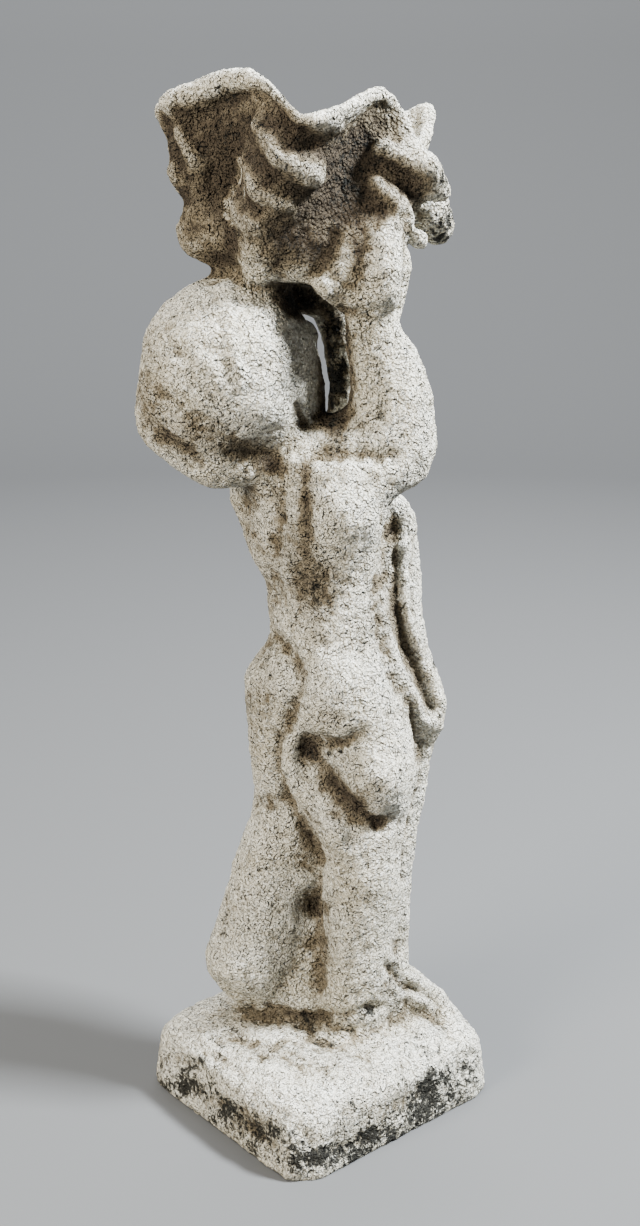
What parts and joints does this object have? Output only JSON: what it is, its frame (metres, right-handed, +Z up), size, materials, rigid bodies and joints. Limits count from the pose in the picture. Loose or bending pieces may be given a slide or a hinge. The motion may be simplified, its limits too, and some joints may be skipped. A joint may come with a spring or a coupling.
{
  "type": "garden statue",
  "caption": "Weathered cast-stone cherub on a low block, holding a fluted clam-shell bowl over its head with both hands.",
  "frame": {"origin": "on the ground, under the middle of the block's underside", "axes": "+Z up, +X the way the cherub faces, +Y to the cherub's left"},
  "size_m": [0.1903, 0.1753, 0.6487],
  "materials": {
    "cast_stone": "rough, sandy, weathered and lichened cast stone, matt"
  },
  "bodies": {
    "root": {"cherub_with_shell": "cast_stone"}
  },
  "joints": []
}
